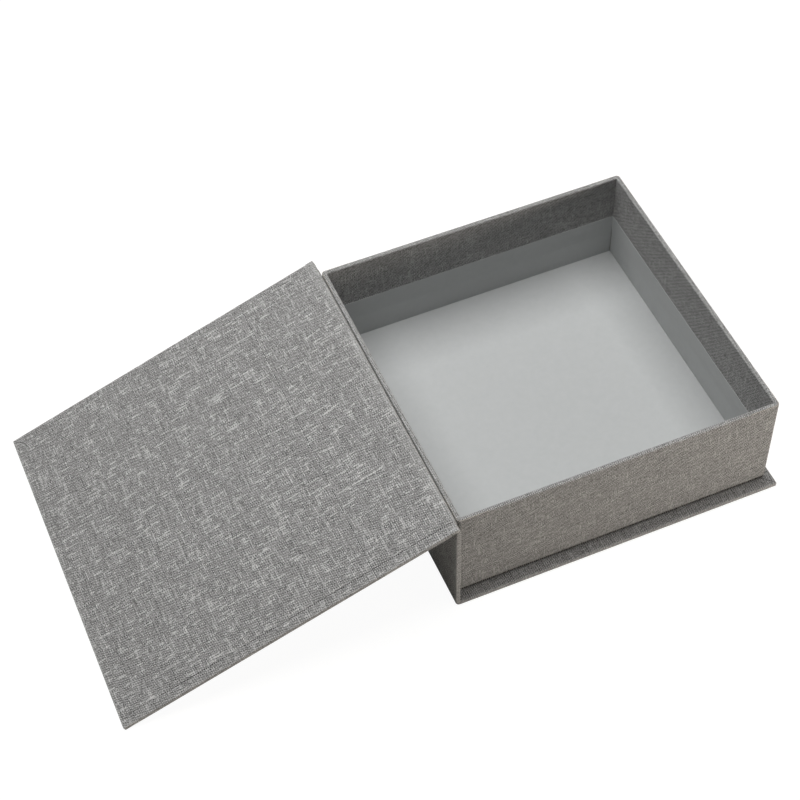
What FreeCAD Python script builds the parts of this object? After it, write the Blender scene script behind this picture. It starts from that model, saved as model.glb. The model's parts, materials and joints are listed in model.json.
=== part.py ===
"""Hinged presentation box covered in linen book cloth, standing open on a table.

A square paper-lined tray is glued to a base board. A spine board stands behind the tray's left wall, and
the lid board hangs from the spine by a strip of bare cloth, which is the hinge. The boards and walls are
greyboard, wrapped in cloth whose edges are turned in over them. Thrown fully open, the lid leans on the
table.

Frame, in millimetres: X runs from the hinge side to the free side, Y from front to back, Z up from the
table. The origin lies on the table, under the middle of the tray.
"""
import FreeCAD, Part
import math
import os
import re

Vector = FreeCAD.Vector
TOLERANCE = 1e-6  # mm, for telling which edges lie on a face
doc = FreeCAD.newDocument("presentation_box")

# ----------------------------------------------------------------------------------------------------------
# Driving dimensions
# ----------------------------------------------------------------------------------------------------------
DIMENSIONS = [
    ("tray_length", 210.0, "tray along X, over its cloth"),
    ("tray_depth", 210.0, "tray along Y, over its cloth"),
    ("tray_height", 72.2, "tray from its underside to the rim, over its cloth"),
    ("board_thickness", 2.3, "greyboard of every board and wall"),
    ("cloth_thickness", 0.35, "book cloth with its glue"),
    ("paper_thickness", 0.2, "paper that lines the tray"),
    ("corner_land", 0.1, "flat that the tray's rounded upright corners leave of the walls' ends"),
    ("front_overhang", 7.4, "base, spine and lid beyond the tray, at the front and at the back"),
    ("base_overhang", 4.1, "base beyond the tray on the free side"),
    ("lid_overhang", 7.4, "shut lid beyond the tray on the free side"),
    ("spine_gap", 1.05, "tray's left wall to the cloth turned in over the spine"),
    ("spine_fold_radius", 3.35, "fold of the cloth from the base up to the spine, outside"),
    ("case_turn_in", 15.0, "cloth turned in over the base, spine and lid boards"),
    ("tray_turn_under", 15.0, "cloth turned in under the tray"),
    ("lining_height", 34.2, "paper on the tray's walls, above the lined floor"),
    ("lining_lap", 7.0, "wall paper laid over the cloth that is turned down inside the tray"),
    ("liner_margin", 6.6, "bare turn-in beside the lid and spine liners, front and back"),
    ("liner_far_margin", 5.5, "bare turn-in beyond the lid liner at the free edge"),
    ("stay_leg", 20.0, "corner stay along each wall"),
    ("stay_thickness", 0.12, "paper of the corner stays"),
    ("lid_setback", 3.95, "shut lid's near edge in from the spine's outer face"),
    ("hinge_inset", 0.45, "hinge axis in from the spine's outer face"),
    ("hinge_lift", 1.93, "hinge axis above the tray's rim"),
    ("hinge_fold_radius", 1.0, "fold along the crest of the hinge cloth, outside"),
    ("shut_gap", 0.1, "nap of the cloth between the rim and the shut lid"),
]

sheet = doc.addObject("Spreadsheet::Sheet", "sizes")
for row, (alias, value, meaning) in enumerate(DIMENSIONS, start=1):
    sheet.set(f"A{row}", meaning)
    sheet.set(f"B{row}", str(value))
    sheet.setAlias(f"B{row}", alias)
doc.recompute()
ALIASES = {alias for alias, value, meaning in DIMENSIONS}

# Planes that several pieces share, as formulas of the sheet's cells.
COVERED = "(board_thickness + 2 * cloth_thickness)"  # a board or wall with cloth on both faces
RIM = f"({COVERED} + tray_height)"
HALF_LENGTH = "(tray_length / 2)"
HALF_DEPTH = "(tray_depth / 2)"
HALF_CASE = f"({HALF_DEPTH} + front_overhang)"
BASE_RIGHT = f"({HALF_LENGTH} + base_overhang)"
SPINE_INSIDE = f"(-{HALF_LENGTH} - spine_gap)"
SPINE_OUTSIDE = f"({SPINE_INSIDE} - {COVERED})"
SPINE_TOP = RIM
SHUT = f"({RIM} + shut_gap)"  # inner face of the shut lid's liner
LID_LEFT = f"({SPINE_OUTSIDE} + lid_setback)"
LID_RIGHT = f"({HALF_LENGTH} + lid_overhang)"
TRAY_BOARD_BOTTOM = f"({COVERED} + cloth_thickness)"
TRAY_BOARD_TOP = f"({RIM} - cloth_thickness)"
FLOOR = f"({TRAY_BOARD_BOTTOM} + board_thickness)"
LINED_FLOOR = f"({FLOOR} + paper_thickness)"
LINING_TOP = f"({LINED_FLOOR} + lining_height)"
TURN_DOWN_END = f"({LINING_TOP} - lining_lap)"


def bind(feature, path, formula):
    """Ties one property of the feature to a formula of the sheet's cells."""
    cells = re.sub(r"[a-z_]+", lambda word: f"sizes.{word[0]}" if word[0] in ALIASES else word[0], formula)
    feature.setExpression(path, cells)


def both(formula):
    """The span from minus the formula to plus the formula."""
    return f"-({formula})", formula


def piece(label):
    """An empty body with that label."""
    body = doc.addObject("PartDesign::Body", label)
    body.Label = label
    return body


def box(body, kind, spans):
    """Adds to the body, or cuts from it, the box between three (low, high) spans along X, Y and Z."""
    feature = body.newObject(f"PartDesign::{kind}Box", f"{body.Label}_{kind.lower()}")
    for axis, side, (low, high) in zip("xyz", ("Length", "Width", "Height"), spans):
        bind(feature, side, f"({high}) - ({low})")
        bind(feature, f".Placement.Base.{axis}", low)
    return feature


def block(label, *spans):
    """A body that is one plain box."""
    body = piece(label)
    box(body, "Additive", spans)
    return body


def fold(body, radius, is_folded):
    """Rounds the edges that is_folded picks, by a formula's radius."""
    doc.recompute()
    edges = [f"Edge{n}" for n, edge in enumerate(body.Shape.Edges, start=1) if is_folded(edge)]
    feature = body.newObject("PartDesign::Fillet", f"{body.Label}_fold")
    feature.Base = (body.Group[-2], edges)
    bind(feature, "Radius", radius)
    body.Tip = feature
    return body


def upright(edge):
    """Whether the edge runs along Z."""
    extent = edge.BoundBox
    return extent.ZLength > extent.XLength + extent.YLength


def cut_away(label, base, tools):
    """The base with every tool cut away from it, one after another."""
    result = base
    for number, tool in enumerate(tools, start=1):
        last = number == len(tools)
        feature = doc.addObject("Part::Cut", label if last else f"{label}_step_{number}")
        feature.Base = result
        feature.Tool = tool
        result = feature
    return result


# ----------------------------------------------------------------------------------------------------------
# Tray: a floor and four butted walls of greyboard
# ----------------------------------------------------------------------------------------------------------
WALL_OUT_X = f"({HALF_LENGTH} - cloth_thickness)"
WALL_OUT_Y = f"({HALF_DEPTH} - cloth_thickness)"
WALL_IN_X = f"({WALL_OUT_X} - board_thickness)"
WALL_IN_Y = f"({WALL_OUT_Y} - board_thickness)"
WALL_HEIGHT = (TRAY_BOARD_BOTTOM, TRAY_BOARD_TOP)
BOARD_CORNER = "(board_thickness - corner_land)"

tray_floor_board = block("tray_floor_board", both(WALL_IN_X), both(WALL_IN_Y), (TRAY_BOARD_BOTTOM, FLOOR))


def toward(side, low, high):
    """The span on the side where the axis is positive (+1), or its mirror image (-1)."""
    return (low, high) if side > 0 else (f"-({high})", f"-({low})")


def side_wall(label, side):
    """A left (-1) or right (+1) wall, which butts between the front and back walls."""
    return block(label, toward(side, WALL_IN_X, WALL_OUT_X), both(WALL_IN_Y), WALL_HEIGHT)


def end_wall(label, side):
    """A front (-1) or back (+1) wall, which runs past the side walls, with its outer uprights rounded."""
    body = block(label, both(WALL_OUT_X), toward(side, WALL_IN_Y, WALL_OUT_Y), WALL_HEIGHT)
    doc.recompute()
    extent = body.Shape.BoundBox
    outermost = max(abs(extent.YMin), abs(extent.YMax)) - TOLERANCE
    return fold(body, BOARD_CORNER, lambda edge: upright(edge) and abs(edge.CenterOfMass.y) > outermost)


tray_left_wall = side_wall("tray_left_wall", -1)
tray_right_wall = side_wall("tray_right_wall", 1)
tray_front_wall = end_wall("tray_front_wall", -1)
tray_back_wall = end_wall("tray_back_wall", 1)


def tray_block(label, outset, radius, height):
    """A block with the tray's plan, rounded upright corners and sides that stand outset from the boards."""
    body = block(label, both(f"{WALL_OUT_X} + {outset}"), both(f"{WALL_OUT_Y} + {outset}"), height)
    return fold(body, radius, upright)


# Corner stays: paper glued round the four outer corners of the walls, to hold the butt joints.
STAY_CORNER = f"{BOARD_CORNER} + stay_thickness"
board_block = tray_block("board_block", "0", BOARD_CORNER, WALL_HEIGHT)
stay_block = tray_block("stay_block", "stay_thickness", STAY_CORNER, WALL_HEIGHT)
stay_band = cut_away("stay_band", stay_block, [board_block])
between_stays = piece("between_stays")
for length, depth in (("-stay_leg", "stay_thickness"), ("stay_thickness", "-stay_leg")):
    plan = (both(f"{HALF_LENGTH} + {length}"), both(f"{HALF_DEPTH} + {depth}"))
    box(between_stays, "Additive", (*plan, WALL_HEIGHT))
corner_stays = cut_away("corner_stays", stay_band, [between_stays])

# Tray cloth: up the outside, over the rim and down inside, and turned in under the tray.
CLOTH_CORNER = f"{BOARD_CORNER} + cloth_thickness"
cloth_block = tray_block("cloth_block", "cloth_thickness", CLOTH_CORNER, (COVERED, RIM))
MOUTH_PLAN = (both(f"{WALL_IN_X} - cloth_thickness"), both(f"{WALL_IN_Y} - cloth_thickness"))
TURNED_DOWN_HEIGHT = (TURN_DOWN_END, TRAY_BOARD_TOP)
tray_mouth = block("tray_mouth", *MOUTH_PLAN, (TRAY_BOARD_BOTTOM, RIM))
tray_underside = block(
    "tray_underside",
    both(f"{HALF_LENGTH} - tray_turn_under"),
    both(f"{HALF_DEPTH} - tray_turn_under"),
    (COVERED, TRAY_BOARD_BOTTOM),
)
turned_down = block("turned_down", both(WALL_IN_X), both(WALL_IN_Y), TURNED_DOWN_HEIGHT)
box(turned_down, "Subtractive", (*MOUTH_PLAN, TURNED_DOWN_HEIGHT))
inside_cloth = [tray_mouth, tray_underside, board_block, corner_stays]
outside_cloth = cut_away("outside_cloth", cloth_block, inside_cloth)
tray_cloth = doc.addObject("Part::Fuse", "tray_cloth")
tray_cloth.Base = outside_cloth
tray_cloth.Tool = turned_down
tray_cloth.Refine = True

# ----------------------------------------------------------------------------------------------------------
# Paper that lines the tray: a floor sheet, and four wall sheets that step over the turned-down cloth
# ----------------------------------------------------------------------------------------------------------
floor_paper = block(
    "floor_paper",
    both(f"{WALL_IN_X} - paper_thickness"),
    both(f"{WALL_IN_Y} - paper_thickness"),
    (FLOOR, LINED_FLOOR),
)
OVER_CLOTH = "(cloth_thickness + paper_thickness)"


def wall_paper(label, axis, side):
    """The sheet on one wall: flat on the board below, a step out, and over the turned-down cloth above."""
    board_face = WALL_IN_X if axis == "x" else WALL_IN_Y
    width = both(f"{WALL_IN_Y} - {OVER_CLOTH}" if axis == "x" else f"{WALL_IN_X} - cloth_thickness")
    step_bottom = f"{TURN_DOWN_END} - paper_thickness"
    body = piece(label)
    for near, far, height in (
        ("paper_thickness", "0", (FLOOR, TURN_DOWN_END)),
        (OVER_CLOTH, "0", (step_bottom, TURN_DOWN_END)),
        (OVER_CLOTH, "cloth_thickness", (step_bottom, LINING_TOP)),
    ):
        depth = toward(side, f"{board_face} - {near}", f"{board_face} - {far}")
        box(body, "Additive", (depth, width, height) if axis == "x" else (width, depth, height))
    return body


front_paper = wall_paper("front_paper", "y", -1)
back_paper = wall_paper("back_paper", "y", 1)
left_paper = wall_paper("left_paper", "x", -1)
right_paper = wall_paper("right_paper", "x", 1)

# ----------------------------------------------------------------------------------------------------------
# Case: base and spine boards in one cover of cloth, which folds up from the base to the spine
# ----------------------------------------------------------------------------------------------------------
CASE_BOARD_Y = both(f"{HALF_CASE} - cloth_thickness")
INSIDE_TURN_IN_Y = both(f"{HALF_CASE} - case_turn_in")
BASE_UNDER_CLOTH = f"({COVERED} - cloth_thickness)"
SPINE_BOARD_X = (f"{SPINE_OUTSIDE} + cloth_thickness", f"{SPINE_INSIDE} - cloth_thickness")
SPINE_BOARD_TOP = f"({SPINE_TOP} - cloth_thickness)"

# Both boards stop where the fold's arc begins, so that the cloth alone turns the corner.
base_board = block(
    "base_board",
    (f"{SPINE_OUTSIDE} + spine_fold_radius", f"{BASE_RIGHT} - cloth_thickness"),
    CASE_BOARD_Y,
    ("cloth_thickness", BASE_UNDER_CLOTH),
)
spine_board = block("spine_board", SPINE_BOARD_X, CASE_BOARD_Y, ("spine_fold_radius", SPINE_BOARD_TOP))


def case_block(label, inset, radius):
    """Base and spine as one L, every face in by inset from the cloth's outside, with the fold rounded."""
    body = piece(label)
    left = f"{SPINE_OUTSIDE} + {inset}"
    width = both(f"{HALF_CASE} - {inset}")
    box(body, "Additive", ((left, f"{BASE_RIGHT} - {inset}"), width, (inset, f"{COVERED} - {inset}")))
    box(body, "Additive", ((left, f"{SPINE_INSIDE} - {inset}"), width, (inset, f"{SPINE_TOP} - {inset}")))
    doc.recompute()
    extent = body.Shape.BoundBox

    def at_corner(edge):
        """Whether the edge is the one where the underside meets the spine's outer face."""
        middle = edge.CenterOfMass
        return middle.x < extent.XMin + TOLERANCE and middle.z < extent.ZMin + TOLERANCE

    return fold(body, radius, at_corner)


case_outside = case_block("case_outside", "0", "spine_fold_radius")
case_inside = case_block("case_inside", "cloth_thickness", "spine_fold_radius - cloth_thickness")
base_opening = block(
    "base_opening",
    (f"{SPINE_INSIDE} - cloth_thickness", f"{BASE_RIGHT} - case_turn_in"),
    INSIDE_TURN_IN_Y,
    (BASE_UNDER_CLOTH, COVERED),
)
spine_opening = block(
    "spine_opening",
    (f"{SPINE_INSIDE} - cloth_thickness", SPINE_INSIDE),
    INSIDE_TURN_IN_Y,
    (BASE_UNDER_CLOTH, SPINE_BOARD_TOP),
)
case_cloth = cut_away("case_cloth", case_outside, [case_inside, base_opening, spine_opening])


def liner(label, panel, pad):
    """A cloth panel, and the pad of it that is pressed down to the board between the turn-ins."""
    body = piece(label)
    box(body, "Additive", panel)
    box(body, "Additive", pad)
    return body


LINER_Y = both(f"{HALF_CASE} - liner_margin")
spine_liner = liner(
    "spine_liner",
    ((SPINE_INSIDE, f"{SPINE_INSIDE} + cloth_thickness"), LINER_Y, (COVERED, SPINE_TOP)),
    ((f"{SPINE_INSIDE} - cloth_thickness", SPINE_INSIDE), INSIDE_TURN_IN_Y, (COVERED, SPINE_BOARD_TOP)),
)

# ----------------------------------------------------------------------------------------------------------
# Lid: built shut on the rim, then thrown open about the hinge axis until its free edge meets the table
# ----------------------------------------------------------------------------------------------------------
LID_BOARD_X = (f"{LID_LEFT} + cloth_thickness", f"{LID_RIGHT} - cloth_thickness")
LID_TURN_IN = f"({SHUT} + cloth_thickness)"
LID_BOARD_BOTTOM = f"({LID_TURN_IN} + cloth_thickness)"
LID_BOARD_TOP = f"({LID_BOARD_BOTTOM} + board_thickness)"
INSIDE_TURN_IN_X = (f"{LID_LEFT} + cloth_thickness", f"{LID_RIGHT} - case_turn_in")

lid_board = block("lid_board", LID_BOARD_X, CASE_BOARD_Y, (LID_BOARD_BOTTOM, LID_BOARD_TOP))
LID_CLOTH_HEIGHT = (LID_TURN_IN, f"{LID_BOARD_TOP} + cloth_thickness")
lid_cloth = block("lid_cloth", (LID_LEFT, LID_RIGHT), both(HALF_CASE), LID_CLOTH_HEIGHT)
box(lid_cloth, "Subtractive", (INSIDE_TURN_IN_X, INSIDE_TURN_IN_Y, (LID_TURN_IN, LID_BOARD_BOTTOM)))
box(lid_cloth, "Subtractive", (LID_BOARD_X, CASE_BOARD_Y, (LID_BOARD_BOTTOM, LID_BOARD_TOP)))
lid_liner = liner(
    "lid_liner",
    ((LID_LEFT, f"{LID_RIGHT} - liner_far_margin"), LINER_Y, (SHUT, LID_TURN_IN)),
    (INSIDE_TURN_IN_X, INSIDE_TURN_IN_Y, (LID_TURN_IN, LID_BOARD_BOTTOM)),
)
doc.recompute()

shut_lid = lid_cloth.Shape.BoundBox
spine_box = case_cloth.Shape.BoundBox
rim_height = tray_cloth.Shape.BoundBox.ZMax
hinge_axis = Vector(spine_box.XMin + sheet.hinge_inset, 0, rim_height + sheet.hinge_lift)

# The shut lid's far upper edge, seen from the axis, is the edge that comes down on the table.
reach = math.hypot(shut_lid.XMax - hinge_axis.x, shut_lid.ZMax - hinge_axis.z)
elevation = math.atan2(shut_lid.ZMax - hinge_axis.z, shut_lid.XMax - hinge_axis.x)
slope = math.asin(hinge_axis.z / reach) - elevation
open_angle = 180 + math.degrees(slope)
thrown_open = FreeCAD.Placement(Vector(), FreeCAD.Rotation(Vector(0, 1, 0), -open_angle), hinge_axis)
for body in (lid_board, lid_cloth, lid_liner):
    body.Placement = thrown_open

# ----------------------------------------------------------------------------------------------------------
# Hinge: the bare cloth and its liner, from the top of the spine over a crest to the lid's near edge
# ----------------------------------------------------------------------------------------------------------
cloth = sheet.cloth_thickness
liner_foot = Vector(spine_liner.Shape.BoundBox.XMax, 0, spine_box.ZMax)
liner_end = thrown_open.multVec(Vector(shut_lid.XMin, 0, rim_height + sheet.shut_gap))
down_lid = Vector(-math.cos(slope), 0, -math.sin(slope))
crest_x = (spine_box.XMin + liner_foot.x - cloth) / 2
crest = liner_end + down_lid * ((crest_x - liner_end.x) / down_lid.x)
up_spine = (crest - liner_foot).normalize()


def strip(label, outer, inner, half_width):
    """The layer between two depths under the crest line, folded to one arc at the crest."""
    beside_spine = Vector(-up_spine.z, 0, up_spine.x)
    beside_lid = Vector(-down_lid.z, 0, down_lid.x)
    half_turn = math.acos(up_spine.dot(down_lid)) / 2
    middle = (up_spine + down_lid).normalize()
    toward_centre = Vector(-middle.z, 0, middle.x)

    def side(depth):
        """Foot, arc and end of the line at that depth, from the spine to the lid."""
        foot = liner_foot - Vector(depth / abs(beside_spine.x), 0, 0)
        corner = crest + toward_centre * (depth / math.cos(half_turn))
        radius = sheet.hinge_fold_radius - depth
        run = radius * math.tan(half_turn)
        top = corner + toward_centre * (radius / math.cos(half_turn) - radius)
        return foot, corner - up_spine * run, top, corner + down_lid * run, liner_end + beside_lid * depth

    def line_and_arc(points):
        """Up beside the spine, round the crest, and down beside the lid."""
        foot, start, top, finish, end = points
        bend = Part.Arc(start, top, finish).toShape()
        return [Part.makeLine(foot, start), bend, Part.makeLine(finish, end)]

    above, below = side(outer), side(inner)
    ends = [Part.makeLine(above[0], below[0]), Part.makeLine(above[-1], below[-1])]
    outline = Part.Wire(Part.__sortEdges__(line_and_arc(above) + line_and_arc(below) + ends))
    layer = Part.Face(outline)
    layer.translate(Vector(0, -half_width, 0))
    feature = doc.addObject("Part::Feature", label)
    feature.Shape = layer.extrude(Vector(0, 2 * half_width, 0))
    return feature


half_case = shut_lid.YMax
hinge_liner = strip("hinge_liner", 0, cloth, half_case - sheet.liner_margin)
hinge_cloth = strip("hinge_cloth", cloth, 2 * cloth, half_case)

# ----------------------------------------------------------------------------------------------------------
# Check and write every piece
# ----------------------------------------------------------------------------------------------------------
PIECES = [
    base_board,
    spine_board,
    case_cloth,
    spine_liner,
    tray_floor_board,
    tray_front_wall,
    tray_back_wall,
    tray_left_wall,
    tray_right_wall,
    corner_stays,
    tray_cloth,
    floor_paper,
    front_paper,
    back_paper,
    left_paper,
    right_paper,
    lid_board,
    lid_cloth,
    lid_liner,
    hinge_cloth,
    hinge_liner,
]
doc.recompute()
for item in doc.Objects:
    if {"Invalid", "Error"} & set(item.State):
        raise RuntimeError(f"{item.Label} failed: {item.State}")
os.makedirs("parts", exist_ok=True)
for item in PIECES:
    if item.Shape.isNull() or not item.Shape.isValid():
        raise RuntimeError(f"{item.Label} has no valid shape")
    item.Shape.exportStep(f"parts/{item.Label}.step")
    print(f"{item.Label}: {len(item.Shape.Solids)} solid, {item.Shape.Volume:.1f} mm3")
print(f"hinge axis {hinge_axis.x:.4f}, {hinge_axis.z:.4f}; open {open_angle:.4f} degrees; crest {crest}")
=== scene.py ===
"""Hinged presentation box in grey linen book cloth, thrown open beside its paper-lined tray.

Lengths are written in millimetres and multiplied by MM where they enter a mesh. X runs from the hinge side to
the free side, Y from front to back, and Z up from the table. The origin lies under the middle of the tray.
"""
import json
import math

import bmesh
import bpy
import numpy as np
from mathutils import Matrix, Vector


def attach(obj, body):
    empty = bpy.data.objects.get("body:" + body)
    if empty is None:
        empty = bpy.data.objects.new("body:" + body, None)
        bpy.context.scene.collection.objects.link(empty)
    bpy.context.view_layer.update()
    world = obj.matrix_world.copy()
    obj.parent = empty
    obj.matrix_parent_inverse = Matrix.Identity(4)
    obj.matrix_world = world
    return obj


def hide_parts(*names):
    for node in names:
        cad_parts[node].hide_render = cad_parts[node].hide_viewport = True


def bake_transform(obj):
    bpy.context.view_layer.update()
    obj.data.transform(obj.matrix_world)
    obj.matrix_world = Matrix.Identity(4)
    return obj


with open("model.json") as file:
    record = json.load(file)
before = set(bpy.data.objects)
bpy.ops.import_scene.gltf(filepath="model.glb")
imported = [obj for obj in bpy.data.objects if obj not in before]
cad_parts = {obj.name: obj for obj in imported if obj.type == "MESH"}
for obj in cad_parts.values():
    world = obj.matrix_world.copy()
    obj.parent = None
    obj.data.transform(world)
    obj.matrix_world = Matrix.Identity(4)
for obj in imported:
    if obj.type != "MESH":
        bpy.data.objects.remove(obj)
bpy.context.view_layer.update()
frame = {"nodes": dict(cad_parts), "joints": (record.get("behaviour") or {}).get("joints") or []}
MM = 0.001

# ----------------------------------------------------------------------------------------------------------
# Greyboard: the eight stiff boards of the base, spine, lid and tray, cut from pressed waste-paper board.
# All are wrapped in cloth or paper. The CAD shapes stay, but for the eased lower edges of the tray walls.
# ----------------------------------------------------------------------------------------------------------
GREYBOARD_DARK = (0.20, 0.185, 0.165, 1)
GREYBOARD_LIGHT = (0.36, 0.335, 0.30, 1)
GREYBOARD_FIBRE = 900  # fibre flecks per metre
OUTSIDE_OF_WALLS = 105.0
BOARD_BOTTOM, EASED_BOTTOM = 3.35, 5.4
BOTTOM_TOLERANCE = 0.1
EASE_SLOPE = 0.6  # how much lower the eased edge is for each millimetre inwards
BOARDS = ("base_board", "spine_board", "tray_floor_board", "lid_board")
WALLS = ("tray_front_wall", "tray_back_wall", "tray_left_wall", "tray_right_wall")


def new_material(name, roughness, specular):
    """A material with a plain Principled shader of that roughness and specular level, and its node tree."""
    material = bpy.data.materials.new(name)
    material.use_nodes = True
    shader = material.node_tree.nodes["Principled BSDF"]
    shader.inputs["Roughness"].default_value = roughness
    shader.inputs["Specular IOR Level"].default_value = specular
    return material, material.node_tree, shader


def add_node(tree, kind, inputs=None, **settings):
    """A node of that kind, with its settings; inputs gives each named socket a link or a plain value."""
    made = tree.nodes.new(kind)
    for name, value in settings.items():
        setattr(made, name, value)
    for name, value in (inputs or {}).items():
        if isinstance(value, bpy.types.NodeSocket):
            tree.links.new(value, made.inputs[name])
        else:
            made.inputs[name].default_value = value
    return made


def calculate(tree, operation, *terms):
    """The result of one Math node on the terms, each a socket or a number."""
    return add_node(tree, "ShaderNodeMath", dict(enumerate(terms)), operation=operation).outputs[0]


def blend_colours(tree, share, dark, light):
    """The colour between dark, at share 0, and light, at share 1."""
    mixed = add_node(tree, "ShaderNodeMix", data_type="RGBA")
    for socket, value in ((0, share), (6, dark), (7, light)):
        if isinstance(value, bpy.types.NodeSocket):
            tree.links.new(value, mixed.inputs[socket])
        else:
            mixed.inputs[socket].default_value = value
    return mixed.outputs[2]


def fibre_material(name, dark, light, flecks, roughness, relief):
    """Pressed fibre: cloudy tone from noise in object space, mixed between a dark and a light colour."""
    material, tree, shader = new_material(name, roughness, 0.25)
    place = add_node(tree, "ShaderNodeTexCoord").outputs["Object"]
    noise = add_node(tree, "ShaderNodeTexNoise", {"Vector": place, "Scale": flecks, "Detail": 4.0})
    tree.links.new(blend_colours(tree, noise.outputs["Fac"], dark, light), shader.inputs["Base Color"])
    bump = add_node(tree, "ShaderNodeBump", {"Height": noise.outputs["Fac"], "Distance": relief * MM})
    tree.links.new(bump.outputs["Normal"], shader.inputs["Normal"])
    return material


def finish_nodes(nodes, material):
    """Gives CAD nodes, which keep their shape, their material."""
    for name in nodes:
        shape = frame["nodes"][name]
        shape.data.materials.clear()
        shape.data.materials.append(material)


def eased_pieces(nodes, material, new_height):
    """Pieces in place of CAD nodes round the tray, whose corners move up or down where new_height says.

    new_height gives each corner's height from its inset from the outside of the walls and its CAD height.
    """
    for name in nodes:
        mesh = frame["nodes"][name].data.copy()
        places = np.empty(len(mesh.vertices) * 3)
        mesh.vertices.foreach_get("co", places)
        x, y, z = places.reshape(-1, 3).T / MM
        z = new_height(OUTSIDE_OF_WALLS - np.maximum(abs(x), abs(y)), z)
        mesh.vertices.foreach_set("co", (np.column_stack([x, y, z]) * MM).ravel())
        mesh.materials.clear()
        mesh.materials.append(material)
        piece = bpy.data.objects.new(name + "_eased", mesh)
        bpy.context.scene.collection.objects.link(piece)
        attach(piece, "case")
        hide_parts(name)


def eased_bottom(inset, height):
    """The lower edge is higher, and most on the outside, where the cloth is drawn round it."""
    return np.where(height < BOARD_BOTTOM + BOTTOM_TOLERANCE, EASED_BOTTOM - EASE_SLOPE * inset, height)


greyboard = fibre_material("greyboard", GREYBOARD_DARK, GREYBOARD_LIGHT, flecks=GREYBOARD_FIBRE, roughness=0.9,
                           relief=0.05)
finish_nodes(BOARDS, greyboard)
eased_pieces(WALLS, greyboard, eased_bottom)

# ----------------------------------------------------------------------------------------------------------
# Corner stays: gummed kraft paper round the four upright corners of the tray walls, holding the butt joints.
# The cloth covers them, and like the walls they end a little above the tray's underside.
# ----------------------------------------------------------------------------------------------------------
KRAFT_DARK = (0.42, 0.34, 0.24, 1)
KRAFT_LIGHT = (0.60, 0.52, 0.40, 1)
kraft = fibre_material("kraft_stay", KRAFT_DARK, KRAFT_LIGHT, flecks=1400, roughness=0.8, relief=0.03)
eased_pieces(("corner_stays",), kraft, eased_bottom)

# ----------------------------------------------------------------------------------------------------------
# Lining paper: five sheets of smooth cool grey paper glued to the tray floor and the lower half of its walls.
# Each sheet has crisp cut edges. The wall sheets run out over the cloth's end in a slope too slight to see.
# ----------------------------------------------------------------------------------------------------------
PAPER_DARK = (0.41, 0.42, 0.418, 1)
PAPER_LIGHT = (0.45, 0.46, 0.458, 1)
WALL_PAPERS = ("front_paper", "back_paper", "left_paper", "right_paper")
STEP_INSET, STEP_HEIGHT, STEP_SLOPE = 2.9, 32.95, 9.0
STEP_TOLERANCE = 0.2
lining_paper = fibre_material("lining_paper", PAPER_DARK, PAPER_LIGHT, flecks=260, roughness=0.75, relief=0.02)
finish_nodes(("floor_paper",), lining_paper)


def eased_step(inset, height):
    """The foot of the step over the cloth's end is lower, so that the step becomes a slope."""
    at_step = (inset < STEP_INSET) & (abs(height - STEP_HEIGHT) < STEP_TOLERANCE)
    return np.where(at_step, height - STEP_SLOPE, height)


eased_pieces(WALL_PAPERS, lining_paper, eased_step)

# ----------------------------------------------------------------------------------------------------------
# Tray cloth: one strip of linen book cloth glued round the four walls, turned in under the tray and folded
# over the rim, then down inside to behind the lining paper. Its corners are folded, not sewn.
# ----------------------------------------------------------------------------------------------------------
CLOTH = 0.35
THREAD = 0.68  # centre to centre of the threads, on average
WANDER, WANDER_PER_METRE = 0.2, 60.0  # how far threads stray from straight
UNEVEN, UNEVEN_PER_METRE = 0.8, 500.0  # how much the spacing of the threads varies
SLUB_PACE, FINE_PACE = 0.05, 0.06  # features per thread crossed
SLUB_FROM, SLUB_FULL = 0.09, 0.13  # slow noise beyond its middle where a slub or a thin place starts and is full
# The warp threads' lighter tone and the weft's darker one are painted light, standing in for light from one side
# catching one set of crossings.
SLUB_PALER, THIN_DARKER, WARP_PAINTED_LIGHTER = 0.66, 0.22, 0.42
FINE_CONTRAST, FLECKS = 1.15, 0.45
STRIP_APART = 7.31  # from one thread's noise to the next one's
WARP_SEED, WEFT_SEED, FINE_SEED, SPACING_SEED = 3.0, 11.0, 40.0, 5.0
UNDER_HEIGHT, OVER_RISE, SLUB_RISE = 0.3, 0.6, 0.3  # a thread's height below another, and what is added
GAP_FROM, GAP_FULL, GAP_LEAST, GAP_TONE = 0.3, 0.75, 0.3, 0.35  # heights at which the painted shade in the gaps between threads begins and is full, and how much
HIGHLIGHT_SHARE = 0.3  # how far the painted highlight along edges and folds goes towards its colour
EDGE_REACH, EDGE_FADE = 1.1, 0.8
WELD, SHARP_FROM = 1e-7, 40  # metres, degrees
TRAY_HALF = OUTSIDE_OF_WALLS
TRAY_CORNER = 2.55
TRAY_BOTTOM, TRAY_RIM = 3.0, 75.2
WALL = 3.0  # wall with cloth on both faces
RIM_ROUND = 1.1
FOOT_ROUND, FOOT_LIFT = 1.5, 1.05  # the cloth curls under at the foot of the walls, just clear of the base
RIM_CREASE = 0.25
TURN_UNDER = 15.0
TURN_DOWN_END = 33.05
UNDER_FLAT, UNDER_RISEN, UNDER_RISE = 3.6, 2.9, 0.3  # where the cloth under the wall leaves the base
RIM_ROW, EVEN_ROWS = 1.6, 8  # distances from the rim to the nearest row of points and to the even ones
CORNER_STEPS = 7
NEAR_CORNER = np.array([0.0, 0.4, 0.9, 2.0, 5.0])
EVEN_FROM = 21.0


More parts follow.
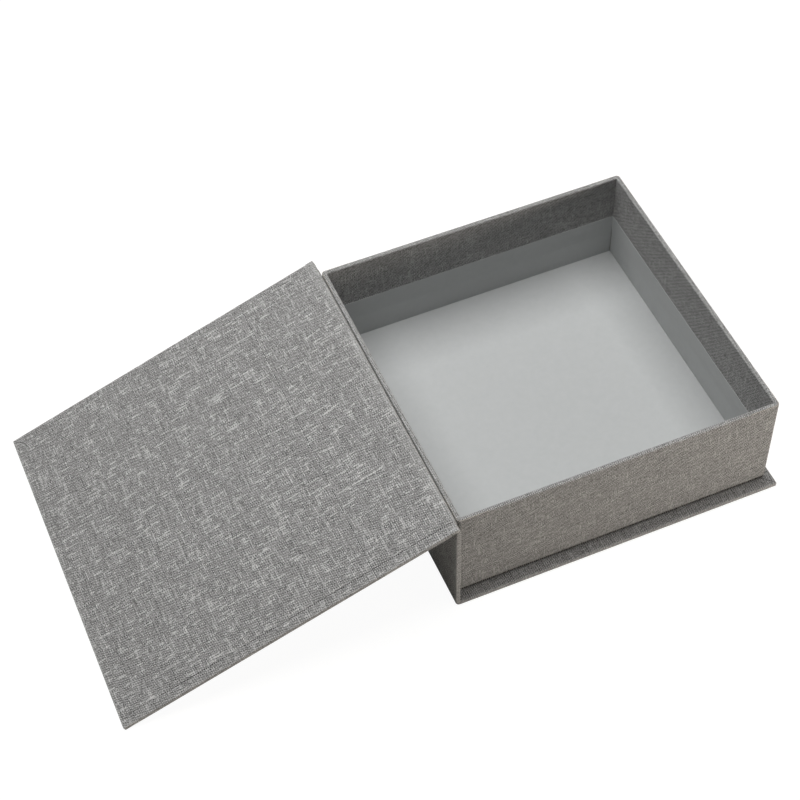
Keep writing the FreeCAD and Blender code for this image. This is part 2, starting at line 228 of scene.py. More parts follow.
def linen_weave_group():
    """Plain weave: warp and weft threads cross, and the higher of two rounded threads shows at each point.

    Vector is the cloth's own flat place in metres, and Slubs is how strongly thick and thin places show. Shade is
    the tone of the thread that shows: its own fine noise, raised where slow noise along the thread makes a thick
    pale slub, lowered where it makes a thin place. Height is the thread's roundness, lower at the gaps.
    """
    group = bpy.data.node_groups.new("linen_weave", "ShaderNodeTree")
    group.interface.new_socket("Vector", in_out="INPUT", socket_type="NodeSocketVector")
    group.interface.new_socket("Slubs", in_out="INPUT", socket_type="NodeSocketFloat")
    group.interface.new_socket("Shade", in_out="OUTPUT", socket_type="NodeSocketFloat")
    group.interface.new_socket("Height", in_out="OUTPUT", socket_type="NodeSocketFloat")
    source = group.nodes.new("NodeGroupInput")
    result = group.nodes.new("NodeGroupOutput")
    wander = add_node(group, "ShaderNodeTexNoise", {"Vector": source.outputs[0], "Scale": WANDER_PER_METRE,
                                                    "Detail": 2.0})
    drift = add_node(group, "ShaderNodeVectorMath", {0: wander.outputs["Color"], 1: (0.5, 0.5, 0.5)},
                     operation="SUBTRACT")
    wandered = add_node(group, "ShaderNodeVectorMath",
                        {0: drift.outputs[0], 1: (WANDER * MM,) * 3, 2: source.outputs[0]},
                        operation="MULTIPLY_ADD")
    split = add_node(group, "ShaderNodeSeparateXYZ", {0: wandered.outputs[0]})
    across = {}
    for name, axis, start in (("warp", "X", 0.0), ("weft", "Y", SPACING_SEED)):
        # The spacing varies only across the threads, so that each one stays straight.
        uneven = add_node(group, "ShaderNodeTexNoise", {"W": calculate(group, "ADD", split.outputs[axis], start),
                                                        "Scale": UNEVEN_PER_METRE, "Detail": 1.0},
                          noise_dimensions="1D")
        moved = calculate(group, "MULTIPLY_ADD", uneven.outputs["Fac"], UNEVEN * MM, split.outputs[axis])
        across[name] = calculate(group, "DIVIDE", moved, THREAD * MM)
    number = {name: calculate(group, "FLOOR", value) for name, value in across.items()}
    parity = calculate(group, "PINGPONG", calculate(group, "ADD", number["warp"], number["weft"]), 1.0)
    crown = {}
    for name, value in across.items():
        wave = calculate(group, "SINE", calculate(group, "MULTIPLY", value, math.pi))
        crown[name] = calculate(group, "ABSOLUTE", wave)
    height, tone = {}, {}
    # Warp tones are painted lighter and weft tones darker, standing in for light from one side.
    threads = (("warp", "weft", parity, WARP_SEED, WARP_PAINTED_LIGHTER),
               ("weft", "warp", calculate(group, "SUBTRACT", 1.0, parity), WEFT_SEED, -WARP_PAINTED_LIGHTER))
    for name, other, over, seed, painted_lighter in threads:
        # A thread is a strip of noise, cut at its own number and stretched along its length.
        strip = calculate(group, "MULTIPLY", number[name], STRIP_APART)
        runs = {}
        for kind, pace, depth, offset in (("slow", SLUB_PACE, 2.0, 0.0), ("fine", FINE_PACE, 3.0, FINE_SEED)):
            along = calculate(group, "MULTIPLY", across[other], pace)
            at = add_node(group, "ShaderNodeCombineXYZ", {"X": strip, "Y": along, "Z": seed + offset})
            noise = {"Vector": at.outputs[0], "Scale": 1.0, "Detail": depth, "Roughness": 0.6}
            runs[kind] = add_node(group, "ShaderNodeTexNoise", noise).outputs["Fac"]
        thick, thin = (
            add_node(group, "ShaderNodeMapRange", {"Value": runs["slow"], "From Min": 0.5 + sign * SLUB_FROM,
                                                   "From Max": 0.5 + sign * SLUB_FULL},
                     interpolation_type="SMOOTHSTEP").outputs[0]
            for sign in (1, -1))
        thick = calculate(group, "MULTIPLY", thick, source.outputs["Slubs"])
        thin = calculate(group, "MULTIPLY", thin, source.outputs["Slubs"])
        level = calculate(group, "MULTIPLY_ADD", thick, SLUB_PALER, 0.5 + painted_lighter)
        level = calculate(group, "MULTIPLY_ADD", thin, -THIN_DARKER, level)
        own = calculate(group, "SUBTRACT", runs["fine"], 0.5)
        tone[name] = calculate(group, "MULTIPLY_ADD", own, FINE_CONTRAST, level)
        lift = calculate(group, "MULTIPLY_ADD", over, OVER_RISE, UNDER_HEIGHT)
        full = calculate(group, "MULTIPLY", crown[name], lift)
        height[name] = calculate(group, "MULTIPLY_ADD", thick, SLUB_RISE, full)
    warp_shows = calculate(group, "GREATER_THAN", height["warp"], height["weft"])
    shade = add_node(group, "ShaderNodeMix", {0: warp_shows, 2: tone["weft"], 3: tone["warp"]})
    cell = add_node(group, "ShaderNodeCombineXYZ", {"X": number["warp"], "Y": number["weft"]})
    fleck = add_node(group, "ShaderNodeTexWhiteNoise", {"Vector": cell.outputs[0]})
    centred = calculate(group, "SUBTRACT", fleck.outputs["Value"], 0.5)
    flecked = calculate(group, "MULTIPLY_ADD", centred, FLECKS, shade.outputs[0])
    top = calculate(group, "MAXIMUM", height["warp"], height["weft"])
    group.links.new(flecked, result.inputs["Shade"])
    group.links.new(top, result.inputs["Height"])
    return group


LINEN_WEAVE = linen_weave_group()


def linen_material(name, dark, light, pale, relief=0.12, slubs=1.0):
    """Grey melange linen: each thread's tone between dark and light, with painted shade in the gaps between
    threads, and matt.

    A point attribute is 1 along rounded edges and folds, where the colour is drawn towards pale: a painted
    highlight, standing in for the sheen that rounded edges catch.
    """
    material, tree, shader = new_material(name, 0.85, 0.2)
    shader.inputs["Sheen Weight"].default_value = 0.08
    flat_place = add_node(tree, "ShaderNodeUVMap", uv_map="cloth").outputs[0]
    weave = add_node(tree, "ShaderNodeGroup", node_tree=LINEN_WEAVE)
    weave.inputs["Slubs"].default_value = slubs
    tree.links.new(flat_place, weave.inputs["Vector"])
    colour = blend_colours(tree, weave.outputs["Shade"], dark, light)
    # Painted shade: the colour is darker where the threads are low, in the gaps between them.
    gap = add_node(tree, "ShaderNodeMapRange", {"Value": weave.outputs["Height"], "From Min": GAP_FROM,
                                                "From Max": GAP_FULL, "To Min": GAP_LEAST, "To Max": 1.0})
    painted_gap_shade = (dark[0] * GAP_TONE, dark[1] * GAP_TONE, dark[2] * GAP_TONE, 1)
    shaded = blend_colours(tree, gap.outputs[0], painted_gap_shade, colour)
    painted_highlight = add_node(tree, "ShaderNodeAttribute", attribute_name="painted_highlight").outputs["Fac"]
    highlight_share = calculate(tree, "MULTIPLY", painted_highlight, HIGHLIGHT_SHARE)
    tree.links.new(blend_colours(tree, highlight_share, shaded, pale), shader.inputs["Base Color"])
    bump = add_node(tree, "ShaderNodeBump", {"Height": weave.outputs["Height"], "Distance": relief * MM})
    tree.links.new(bump.outputs["Normal"], shader.inputs["Normal"])
    return material


def stations(low, high, count, inset=0.0):
    """Places from low to high: close together near both ends, as NEAR_CORNER says, and even between.

    The even ones are the same for every inset from one pair of edges, so that faces between rings aren't skewed.
    """
    middle = np.linspace(low - inset + EVEN_FROM, high + inset - EVEN_FROM, count)
    return np.concatenate([low + NEAR_CORNER, middle, high - NEAR_CORNER[::-1]])


def plan_ring(rectangle, corner, inset, outward, counts):
    """One closed ring round a rectangle, shrunk by inset, with its corners rounded by corner less inset.

    Returns the ring's places and their flat cloth places. A flat place is moved from the ring by outward, the
    length of cloth from there to the rectangle's edge, along the normal of the side or corner that it is on.
    """
    left, right, front, back = rectangle
    radius = max(corner - inset, 0.0)
    ends = inset + radius
    xs = stations(left + ends, right - ends, counts[0], ends)
    ys = stations(front + ends, back - ends, counts[1], ends)
    turn = np.radians(np.linspace(0, 90, CORNER_STEPS))
    places, normals = [], []
    sides = (
        (np.column_stack([xs, np.full_like(xs, front + inset)]), -90),
        (np.column_stack([np.full_like(ys, right - inset), ys]), 0),
        (np.column_stack([xs[::-1], np.full_like(xs, back - inset)]), 90),
        (np.column_stack([np.full_like(ys, left + inset), ys[::-1]]), 180),
    )
    for side, heading in sides:
        facing = math.radians(heading)
        places.append(side)
        normals.append(np.tile([math.cos(facing), math.sin(facing)], (len(side), 1)))
        inwards = side[-1] - radius * normals[-1][-1]
        round_corner = np.column_stack([np.cos(facing + turn[1:-1]), np.sin(facing + turn[1:-1])])
        places.append(inwards + radius * round_corner)
        normals.append(round_corner)
    places, normals = np.concatenate(places), np.concatenate(normals)
    return places, places + normals * (outward + inset)


def arc(centre, radius, start, end, steps=6):
    """Places on an arc about a centre, from the start angle to the end angle in degrees."""
    angle = np.radians(np.linspace(start, end, steps))
    return np.column_stack([centre[0] + radius * np.cos(angle), centre[1] + radius * np.sin(angle)])


def mesh_object(name, points, faces, flat, material, painted_highlight):
    """A piece from its points, its faces, and each point's flat cloth place and painted highlight, facing
    outwards.
    """
    mesh = bpy.data.meshes.new(name)
    mesh.from_pydata((points * MM).tolist(), [], faces.tolist())
    mesh.attributes.new("painted_highlight", "FLOAT", "POINT").data.foreach_set("value", painted_highlight)
    layer = mesh.uv_layers.new(name="cloth")
    layer.data.foreach_set("uv", (flat[faces.ravel()] * MM).ravel())
    welded = bmesh.new()
    welded.from_mesh(mesh)
    bmesh.ops.remove_doubles(welded, verts=welded.verts, dist=WELD)
    bmesh.ops.recalc_face_normals(welded, faces=welded.faces)
    welded.to_mesh(mesh)
    welded.free()
    mesh.shade_smooth()
    mesh.set_sharp_from_angle(angle=math.radians(SHARP_FROM))
    mesh.materials.append(material)
    made = bpy.data.objects.new(name, mesh)
    bpy.context.scene.collection.objects.link(made)
    return made


def ring_faces(rings, around, closed):
    """Quads between each ring and the next, and from the last ring back to the first where closed."""
    ring = np.arange(rings if closed else rings - 1)
    place = np.arange(around)
    here = ring[:, None] * around + place
    ahead = ((ring + 1) % rings)[:, None] * around + place
    return np.stack([here, np.roll(here, -1, 1), np.roll(ahead, -1, 1), ahead], -1).reshape(-1, 4)


def path_length(path):
    """Length along a path up to each of its points."""
    return np.concatenate([[0], np.cumsum(np.linalg.norm(np.diff(path, axis=0), axis=1))])


def highlighted_edges(profile, corners):
    """Painted highlight: 1 at each listed corner of a profile, falling over EDGE_FADE to 0 at EDGE_REACH away from
    it.
    """
    gaps = np.min([np.linalg.norm(profile - corner, axis=1) for corner in corners], axis=0)
    return np.clip((EDGE_REACH - gaps) / EDGE_FADE, 0, 1)


def at_corners(counts):
    """For each of the four corners of a ring, the numbers of its CORNER_STEPS points."""
    ends = np.cumsum([count + 2 * len(NEAR_CORNER) - 2 + CORNER_STEPS for count in counts * 2])
    return (ends[:, None] - np.arange(CORNER_STEPS)) % ends[-1]


TRAY_COUNTS = (24, 24)
tray_profile = np.concatenate([
    [[TURN_UNDER, TRAY_BOTTOM], [UNDER_FLAT, TRAY_BOTTOM], [UNDER_RISEN, TRAY_BOTTOM + UNDER_RISE]],
    arc((FOOT_ROUND, TRAY_BOTTOM + FOOT_LIFT + FOOT_ROUND), FOOT_ROUND, 300, 180, 10),
    np.column_stack([np.zeros(8), np.linspace(TRAY_BOTTOM + EVEN_ROWS, TRAY_RIM - EVEN_ROWS, 8)]),
    [[0, TRAY_RIM - RIM_ROW]],
    arc((RIM_ROUND, TRAY_RIM - RIM_ROUND), RIM_ROUND, 180, 90),
    arc((WALL - RIM_ROUND, TRAY_RIM - RIM_ROUND), RIM_ROUND, 90, 0),
    [[WALL, TRAY_RIM - RIM_ROW]],
    np.column_stack([np.full(4, WALL), np.linspace(TRAY_RIM - EVEN_ROWS, TURN_DOWN_END, 4)]),
    [[WALL - CLOTH, TURN_DOWN_END], [WALL - CLOTH, TRAY_RIM - CLOTH], [CLOTH, TRAY_RIM - CLOTH]],
    [[CLOTH, TRAY_BOTTOM + FOOT_LIFT + FOOT_ROUND], [FOOT_ROUND, TRAY_BOTTOM + FOOT_LIFT + CLOTH]],
    [[UNDER_FLAT, TRAY_BOTTOM + CLOTH], [TURN_UNDER, TRAY_BOTTOM + CLOTH]],
])
tray_lengths = path_length(tray_profile)
# A painted highlight along both edges of the rim.
tray_highlight = highlighted_edges(tray_profile, [(0, TRAY_RIM), (WALL, TRAY_RIM)])
tray_square = (-TRAY_HALF, TRAY_HALF, -TRAY_HALF, TRAY_HALF)
girth = path_length(plan_ring(tray_square, TRAY_CORNER, 0, 0, TRAY_COUNTS)[0])
rim_crease = at_corners(TRAY_COUNTS)[:, CORNER_STEPS // 2]
tray_points, tray_flat = [], []
for (inset, height), length in zip(tray_profile, tray_lengths):
    ring = plan_ring(tray_square, TRAY_CORNER, inset, 0, TRAY_COUNTS)[0]
    level = np.full(len(ring), height)
    if height == TRAY_RIM:
        level[rim_crease] -= RIM_CREASE
    tray_points.append(np.column_stack([ring, level]))
    tray_flat.append(np.column_stack([np.full(len(ring), length), girth]))
tray_points, tray_flat = np.array(tray_points), np.array(tray_flat)
tray_faces = ring_faces(len(tray_points), tray_points.shape[1], closed=True)
LINEN_DARK = (0.06, 0.059, 0.057, 1)
LINEN_LIGHT = (0.64, 0.635, 0.623, 1)
# The colour towards which the painted highlight on edges and folds is drawn.
LINEN_HIGHLIGHT = (0.50, 0.495, 0.485, 1)
calm_linen = linen_material("calm_linen", LINEN_DARK, LINEN_LIGHT, LINEN_HIGHLIGHT, slubs=0.5)
tray_cloth = mesh_object("tray_cloth_strip", tray_points.reshape(-1, 3), tray_faces, tray_flat.reshape(-1, 2),
                         calm_linen, np.repeat(tray_highlight, len(girth)))
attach(tray_cloth, "case")
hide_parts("tray_cloth")

# ----------------------------------------------------------------------------------------------------------
# Case cloth: one sheet drawn over the outside of the base and spine boards, folded up between them, and
# turned in 15 mm over their edges with mitred corners. The tray is glued down on the base inside it.
# ----------------------------------------------------------------------------------------------------------
BOARD_COVERED = 3.0
TURN_IN = 15.0
EDGE_ROUND = 0.6
CASE_CORNER = 0.8
CASE_HALF = 112.4
BASE_RIGHT = 109.1
SPINE_OUTSIDE = -109.05
SPINE_TOP = 75.2
FOLD_RADIUS = 3.35
MITRE_DEPTH = 0.3
OUTER_RING = 5.0
ON_LEVEL = 0.01
TURN_IN_RINGS = (1.6, 3.0, 3.9, 4.4, 5.5, 7.2, 7.7, TURN_IN)


def grid_faces(columns, rows):
    """Quads between neighbours on a grid of points that runs along its columns first."""
    cell = np.arange(columns - 1) + columns * np.arange(rows - 1)[:, None]
    return np.stack([cell, cell + 1, cell + 1 + columns, cell + columns], -1).reshape(-1, 4)


def covered_board(rectangle, counts, mitred):
    """A board's cloth, laid flat: the outer face at height 0, the edges rounded, and the turn-ins on top.

    Rings run from the outer face round the edge to the end of the turn-in, and back along the inside of the
    cloth. A grid fills the outer face, and another fills its inside, so the cloth is one closed skin. At the
    mitred corners, counted round from the one at the right front, the turn-in's corner lies a little lower.
    Returns points, faces, flat places and the painted highlight along the board's edges.
    """
    inner_round = EDGE_ROUND - CLOTH
    outside = np.concatenate([
        [[TURN_IN, 0.0], [OUTER_RING, 0.0]],
        arc((EDGE_ROUND, EDGE_ROUND), EDGE_ROUND, 270, 180),
        arc((EDGE_ROUND, BOARD_COVERED - EDGE_ROUND), EDGE_ROUND, 180, 90),
        [[reach, BOARD_COVERED] for reach in TURN_IN_RINGS],
    ])
    inside = np.concatenate([
        [[TURN_IN, BOARD_COVERED - CLOTH]],
        arc((EDGE_ROUND, BOARD_COVERED - EDGE_ROUND), inner_round, 90, 180, 4),
        arc((EDGE_ROUND, EDGE_ROUND), inner_round, 180, 270, 4),
        [[TURN_IN, CLOTH]],
    ])
    profile = np.concatenate([outside, inside])
    outward = path_length(outside) - TURN_IN
    outward = np.concatenate([outward, np.full(len(inside), outward[-1])])
    points, flat = [], []
    for (inset, height), reach in zip(profile, outward):
        ring, place = plan_ring(rectangle, CASE_CORNER, inset, reach, counts)
        level = np.full(len(ring), height)
        if height > BOARD_COVERED - ON_LEVEL and inset > EDGE_ROUND - ON_LEVEL:
            level[at_corners(counts)[mitred].ravel()] -= MITRE_DEPTH
        points.append(np.column_stack([ring, level]))
        flat.append(place)
    around = len(points[0])
    # A painted highlight along the board's rounded edges, on the outside of the cloth only.
    painted_highlight = highlighted_edges(profile, [(0, 0), (0, BOARD_COVERED)])
    painted_highlight = np.repeat(painted_highlight * (np.arange(len(profile)) < len(outside)), around)
    faces = ring_faces(len(points), around, closed=False)
    points, flat = np.concatenate(points), np.concatenate(flat)
    left, right, front, back = rectangle
    xs = stations(left + TURN_IN, right - TURN_IN, counts[0], TURN_IN)
    ys = stations(front + TURN_IN, back - TURN_IN, counts[1], TURN_IN)
    grid = np.stack(np.meshgrid(xs, ys), -1).reshape(-1, 2)
    quads = grid_faces(len(xs), len(ys))
    for height in (0.0, CLOTH):
        faces = np.concatenate([faces, quads + len(points)])
        points = np.concatenate([points, np.column_stack([grid, np.full(len(grid), height)])])
        flat = np.concatenate([flat, grid])
        painted_highlight = np.concatenate([painted_highlight, np.zeros(len(grid))])
    return points, faces, flat, painted_highlight


# The case is worked out flat, with the base's free edge at 0, and then folded up along the spine.
FOLD_START = BASE_RIGHT - (SPINE_OUTSIDE + FOLD_RADIUS)
FOLD_LENGTH = FOLD_RADIUS * math.pi / 2
CASE_LENGTH = FOLD_START + FOLD_LENGTH + SPINE_TOP - FOLD_RADIUS


def fold_up(points):
    """Bends flat points: straight to FOLD_START, a quarter turn about one axis, then straight up the spine."""
    along, across, height = points.T
    turn = np.clip((along - FOLD_START) / FOLD_RADIUS, 0, math.pi / 2)
    beyond = np.maximum(along - FOLD_START - FOLD_LENGTH, 0)
    reach = FOLD_RADIUS - height
    x = BASE_RIGHT - np.minimum(along, FOLD_START) - reach * np.sin(turn)
    z = FOLD_RADIUS - reach * np.cos(turn) + beyond
    return np.column_stack([x, across, z])


case_points, case_faces, case_flat, case_highlight = covered_board(
    (0, CASE_LENGTH, -CASE_HALF, CASE_HALF), (400, 30), mitred=[3, 2])
case_points = fold_up(case_points)
case_cloth = mesh_object("case_cloth_sheet", case_points, case_faces, case_flat, calm_linen, case_highlight)
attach(case_cloth, "case")
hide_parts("case_cloth")

# ----------------------------------------------------------------------------------------------------------
# Lid cloth: the other end of the same sheet, drawn over the lid board and turned in on its inner face.
# The lid is worked out shut on the rim and then thrown open about the hinge, as it stands here.
# ----------------------------------------------------------------------------------------------------------
hinge = frame["joints"][0]
HINGE_X, HINGE_Z = hinge["pos_m"][0] / MM, hinge["pos_m"][2] / MM
OPEN_ANGLE = math.radians(hinge["range_deg"][1])
LID_NEAR, LID_FAR = -105.1, 112.4
LID_INSIDE = 75.65  # inner face of the shut lid's turn-ins


def thrown_open(points):
    """Turns places of the shut lid about the hinge axis, over and down to the table on the left."""
    x, y, z = points.T
    x, z = x - HINGE_X, z - HINGE_Z
    c, s = math.cos(OPEN_ANGLE), math.sin(OPEN_ANGLE)
    return np.column_stack([HINGE_X + x * c - z * s, y, HINGE_Z + x * s + z * c])


def shut_lid(points):
    """Places of a board laid flat, with its outer face at height 0, as the shut lid: turned over on the rim."""
    return points * (1, 1, -1) + (0, 0, LID_INSIDE + BOARD_COVERED)


linen = linen_material("linen_cloth", LINEN_DARK, LINEN_LIGHT, LINEN_HIGHLIGHT)
lid_points, lid_faces, lid_flat, lid_highlight = covered_board(
    (LID_NEAR, LID_FAR, -CASE_HALF, CASE_HALF), (60, 60), mitred=[0, 1])
lid_cloth = mesh_object("lid_cloth_sheet", thrown_open(shut_lid(lid_points)), lid_faces, lid_flat, linen,
                        lid_highlight)
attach(lid_cloth, "lid")
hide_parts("lid_cloth")

# ----------------------------------------------------------------------------------------------------------
# Liners: panels of the same cloth glued inside the lid and the spine, over the turn-ins. Their cut edges
# show as a fine step 5 to 7 mm in from the edge of the board.
# ----------------------------------------------------------------------------------------------------------
LINER_HALF = 105.8
LINER_FAR = 106.9
LINER_SKEW = 0.4  # the lid's liner lies a little askew, so its front margin narrows towards the free edge
LINER_SLANT = 1.0  # and its free edge lies this much further in at the back than at the front
LINER_EDGE = 0.12


def panel(corners, base, counts, place):
    """A cloth panel over a four-cornered plan, CLOTH thick, its cut edge softened by one small bevel."""
    near_front, far_front, far_back, near_back = (np.array(corner) for corner in corners)
    u, v = np.meshgrid(*(np.linspace(0, 1, count) for count in counts))

    def at(u, v):
        """The place inside the plan, by weighing its four corners."""
        u, v = u[..., None], v[..., None]
        return (1 - v) * ((1 - u) * near_front + u * far_front) + v * ((1 - u) * near_back + u * far_back)

    plan = at(u, v).reshape(-1, 2)
    size = plan.max(0) - plan.min(0)
    centre = (plan.max(0) + plan.min(0)) / 2
    bevelled = centre + (plan - centre) * (1 - 2 * LINER_EDGE / size)
    border = np.concatenate([
        np.arange(counts[0] - 1),
        counts[0] * np.arange(1, counts[1]) - 1,
        counts[0] * counts[1] - 1 - np.arange(counts[0] - 1),
        counts[0] * (counts[1] - 1 - np.arange(counts[1] - 1)),
    ])
    quads = grid_faces(*counts)
    total = len(plan)
    levels = [(bevelled, base + CLOTH), (plan, base + CLOTH - LINER_EDGE), (plan, base)]
    points = np.concatenate([np.column_stack([p, np.full(total, z)]) for p, z in levels])
    skirt = []
    for upper, lower in ((0, total), (total, 2 * total)):
        top, low = upper + border, lower + border
        skirt.append(np.stack([top, np.roll(top, -1), np.roll(low, -1), low], -1))
    faces = np.concatenate([quads, *skirt, quads[:, ::-1] + 2 * total])
    return place(points), faces, points[:, :2], np.zeros(len(points))


liner_corners = ((LID_NEAR, -LINER_HALF), (LINER_FAR, -LINER_HALF - LINER_SKEW),
                 (LINER_FAR - LINER_SLANT, LINER_HALF - LINER_SKEW), (LID_NEAR, LINER_HALF))
liner_points, liner_faces, liner_flat, liner_highlight = panel(
    liner_corners, BOARD_COVERED, (40, 40), lambda p: thrown_open(shut_lid(p)))
lid_liner = mesh_object("lid_liner_panel", liner_points, liner_faces, liner_flat, linen, liner_highlight)
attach(lid_liner, "lid")
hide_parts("lid_liner")

SPINE_INSIDE = SPINE_OUTSIDE + BOARD_COVERED
spine_corners = ((BOARD_COVERED, -LINER_HALF), (SPINE_TOP, -LINER_HALF), (SPINE_TOP, LINER_HALF),
                 (BOARD_COVERED, LINER_HALF))
spine_points, spine_faces, spine_flat, spine_highlight = panel(
    spine_corners, 0.0, (20, 40), lambda p: np.column_stack([SPINE_INSIDE + p[:, 2], p[:, 1], p[:, 0]]))
spine_liner = mesh_object("spine_liner_panel", spine_points, spine_faces, spine_flat, calm_linen, spine_highlight)
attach(spine_liner, "case")
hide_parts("spine_liner")

# ----------------------------------------------------------------------------------------------------------
# Hinge: the bare strip of cover cloth between spine and lid, with the liner's end glued along it. It rises
# from the top of the spine, folds over a soft crest and runs down to the lid's near edge.
# ----------------------------------------------------------------------------------------------------------
HINGE_FOOT = np.array([-105.7, SPINE_TOP])
CREST_FOLD, LEAST_FOLD = 1.0, 0.05
RISE_STEPS, BEND_STEPS, FALL_STEPS = 12, 12, 14
HEM_DEEP, HEM_WIDE, HEM_EDGE = 1.7, 1.8, 0.8
CREST_HIGHLIGHT_REACH, CREST_HIGHLIGHT_SHARE = 3.0, 0.5  # the strip's painted highlight reaches this far to either side of its crest, at this share
lid_slope = OPEN_ANGLE - math.pi
down_lid = np.array([-math.cos(lid_slope), -math.sin(lid_slope)])
lid_edge = thrown_open(np.array([[LID_NEAR, 0, LID_INSIDE - CLOTH]]))[0, [0, 2]]
CREST_X = (SPINE_OUTSIDE + HINGE_FOOT[0] - CLOTH) / 2
crest = lid_edge + down_lid * (CREST_X - lid_edge[0]) / down_lid[0]


def hinge_strip(name, outer, inner, hem, half_width, cloth):
    """The layer between two depths below the strip's upper line, carried along Y from front to back.

    The line runs from the foot up to the crest, round an arc there, and down to the lid's edge. A layer's
    line is that one moved inwards by its depth, with the arc's radius smaller by as much. At both ends of the
    strip the inner line lies deeper by hem, where the cloth's turned-in edge is bunched between the boards.
    """
    up_spine = (crest - HINGE_FOOT) / np.linalg.norm(crest - HINGE_FOOT)
    half_turn = math.acos(up_spine @ down_lid) / 2
    middle = (up_spine + down_lid) / np.linalg.norm(up_spine + down_lid)
    to_centre = np.array([-middle[1], middle[0]])
    beside_spine = np.array([-up_spine[1], up_spine[0]])
    beside_lid = np.array([-down_lid[1], down_lid[0]])

    def line(depth):
        """Places along the layer's line at that depth."""
        foot = HINGE_FOOT - (depth / abs(beside_spine[0]), 0)
        corner = crest + to_centre * depth / math.cos(half_turn)
        radius = max(CREST_FOLD - depth, LEAST_FOLD)
        run = radius * math.tan(half_turn)
        centre = corner + to_centre * radius / math.cos(half_turn)
        heading = math.degrees(math.atan2(-to_centre[1], -to_centre[0]))
        spread = math.degrees(half_turn)
        bend = arc(centre, radius, heading - spread, heading + spread, BEND_STEPS)
        rise = np.linspace(foot, corner - up_spine * run, RISE_STEPS)[:-1]
        fall = np.linspace(corner + down_lid * run, lid_edge + beside_lid * depth, FALL_STEPS)[1:]
        return np.concatenate([rise, bend, fall])

    ys = stations(-half_width, half_width, 60)
    thin = np.concatenate([line(outer), line(inner)[::-1]])
    thick = np.concatenate([line(outer), line(inner + hem)[::-1]])
    share = np.clip((abs(ys) - half_width + HEM_WIDE) / HEM_EDGE, 0, 1)[:, None, None]
    loops = thin * (1 - share) + thick * share
    half = loops.shape[1] // 2
    points = np.stack([loops[..., 0], np.repeat(ys[:, None], 2 * half, 1), loops[..., 1]], -1)
    faces = ring_faces(len(ys), 2 * half, closed=False)
    step = np.arange(half - 1)
    end = np.stack([step, step + 1, 2 * half - 2 - step, 2 * half - 1 - step], -1)
    faces = np.concatenate([faces, end[:, ::-1], end + (len(ys) - 1) * 2 * half])
    around = path_length(line(outer))
    flat_u = LID_NEAR - (around[-1] - np.concatenate([around, around[::-1]]))
    flat = np.stack([np.tile(flat_u, (len(ys), 1)), np.repeat(ys[:, None], 2 * half, 1)], -1)
    # A painted highlight along the crest of the fold, fading to either side.
    from_crest = abs(around - around[len(around) // 2 - 1])
    painted_highlight = np.clip(1 - from_crest / CREST_HIGHLIGHT_REACH, 0, 1) * CREST_HIGHLIGHT_SHARE
    painted_highlight = np.tile(np.concatenate([painted_highlight, painted_highlight[::-1]]), len(ys))
    made = mesh_object(name, points.reshape(-1, 3), faces, flat.reshape(-1, 2), cloth, painted_highlight)
    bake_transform(made)
    return made


# The hinge strip is the same cover cloth, with lighter thread tones than elsewhere: painted light, standing in for
# the light that falls on the strip's slope.
HINGE_DARK = (0.11, 0.108, 0.104, 1)
HINGE_LIGHT = (0.66, 0.655, 0.64, 1)
hinge_linen_painted_lighter = linen_material("hinge_linen_painted_lighter", HINGE_DARK, HINGE_LIGHT, LINEN_HIGHLIGHT, relief=0.08)
hinge_liner = hinge_strip("hinge_liner_strip", 0.0, CLOTH, 0.0, LINER_HALF, hinge_linen_painted_lighter)
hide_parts("hinge_liner")
hinge_cloth = hinge_strip("hinge_cloth_strip", CLOTH, 2 * CLOTH, HEM_DEEP, CASE_HALF,
                          hinge_linen_painted_lighter)
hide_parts("hinge_cloth")

# ----------------------------------------------------------------------------------------------------------
# Table and light: a plain white table, a large soft light above and a little behind, and a low warm card at
# the front right, whose light the tray's front wall takes. The camera looks down on the open side of the box.
# ----------------------------------------------------------------------------------------------------------
TABLE_HALF, TABLE_DROP = 12.0, 0.0002  # metres
TABLE_COLOUR = (0.80, 0.765, 0.705, 1)
TABLE_GLOW, GLOW_SHARE = 1.12, 0.85  # what is seen of the table is mostly this even white
ROOM_LIGHT = 0.015


def seen_directly(tree):
    """1 for what the camera sees, straight, in a reflection or through glass, and 0 for light on the object."""
    seen = add_node(tree, "ShaderNodeLightPath")
    direct = calculate(tree, "MAXIMUM", seen.outputs["Is Camera Ray"], seen.outputs["Is Glossy Ray"])
    return calculate(tree, "MAXIMUM", direct, seen.outputs["Is Transmission Ray"])


table_mesh = bpy.data.meshes.new("table")
table_corners = [(x * TABLE_HALF, y * TABLE_HALF, 0) for x, y in ((-1, -1), (1, -1), (1, 1), (-1, 1))]
table_mesh.from_pydata(table_corners, [], [(0, 1, 2, 3)])
table = bpy.data.objects.new("table", table_mesh)
bpy.context.scene.collection.objects.link(table)
table.location.z = -TABLE_DROP
table_material, tree, shader = new_material("white_table", 0.9, 0.1)
shader.inputs["Base Color"].default_value = TABLE_COLOUR
glow = add_node(tree, "ShaderNodeEmission", {"Color": (1, 1, 1, 1), "Strength": TABLE_GLOW})
share = calculate(tree, "MULTIPLY", seen_directly(tree), GLOW_SHARE)
mixed = add_node(tree, "ShaderNodeMixShader", {0: share, 1: shader.outputs[0], 2: glow.outputs[0]})
output = next(n for n in tree.nodes if n.bl_idname == "ShaderNodeOutputMaterial")
tree.links.new(mixed.outputs[0], output.inputs["Surface"])
table_mesh.materials.append(table_material)

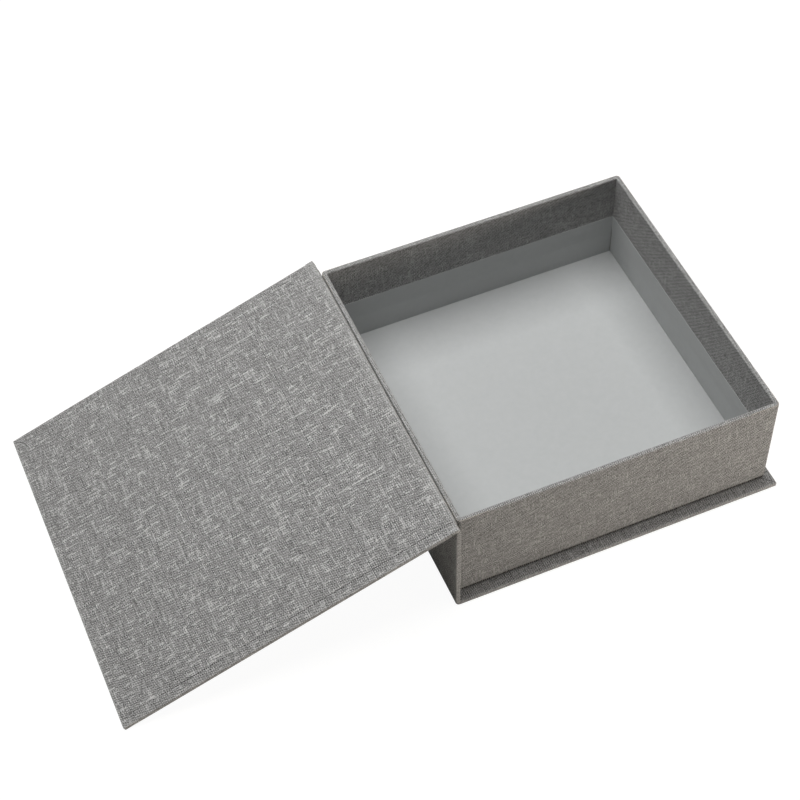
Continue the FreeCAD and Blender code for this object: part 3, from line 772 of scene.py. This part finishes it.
world = bpy.data.worlds.new("studio")
bpy.context.scene.world = world
world.use_nodes = True
tree = world.node_tree
room = tree.nodes["Background"]
room.inputs["Color"].default_value = (1, 1, 1, 1)
room.inputs["Strength"].default_value = ROOM_LIGHT
white = add_node(tree, "ShaderNodeBackground", {"Color": (1, 1, 1, 1), "Strength": 1.0})
mixed = add_node(tree, "ShaderNodeMixShader", {0: seen_directly(tree), 1: room.outputs[0], 2: white.outputs[0]})
tree.links.new(mixed.outputs[0], tree.nodes["World Output"].inputs["Surface"])


def soft_light(name, place, target, size, power, colour=(1, 1, 1)):
    """A rectangular lamp at a place, facing a target, of that size in metres and power in watts."""
    data = bpy.data.lights.new(name, "AREA")
    data.shape = "RECTANGLE"
    data.size, data.size_y = size
    data.energy = power
    data.color = colour
    lamp = bpy.data.objects.new(name, data)
    bpy.context.scene.collection.objects.link(lamp)
    lamp.location = place
    heading = np.array(target, float) - np.array(place, float)
    lamp.visible_camera = False
    lamp.rotation_euler = Vector(heading).to_track_quat("-Z", "Y").to_euler()


soft_light("overhead", place=(-0.09, 0.265, 1.19), target=(-0.09, 0.2651, 0), size=(1.42, 1.07), power=21.0)
soft_light("front_card", place=(0.5, -0.6, 0.09), target=(0.05, 0, 0.05), size=(0.5, 0.09), power=2.8,
           colour=(1, 0.92, 0.84))

LENS, SENSOR = 88.025, 36.0
YAW, PITCH, ROLL = math.radians(-21.979), math.radians(-51.585), math.radians(-1.575)
EYE = np.array([-371.277, -682.235, 989.056]) * MM
forward = np.array([-math.sin(YAW) * math.cos(PITCH), math.cos(YAW) * math.cos(PITCH), math.sin(PITCH)])
right = np.array([math.cos(YAW), math.sin(YAW), 0])
up = np.cross(right, forward)
across = math.cos(ROLL) * right + math.sin(ROLL) * up
upward = -math.sin(ROLL) * right + math.cos(ROLL) * up
camera_data = bpy.data.cameras.new("camera")
camera_data.lens, camera_data.sensor_width = LENS, SENSOR
camera_data.clip_start, camera_data.clip_end = 0.01, 20  # metres
camera = bpy.data.objects.new("camera", camera_data)
bpy.context.scene.collection.objects.link(camera)
turned = np.eye(4)
turned[:3, 0], turned[:3, 1], turned[:3, 2], turned[:3, 3] = across, upward, -forward, EYE
camera.matrix_world = Matrix(turned.tolist())
bpy.context.scene.camera = camera
bpy.context.scene.view_settings.view_transform = "Standard"
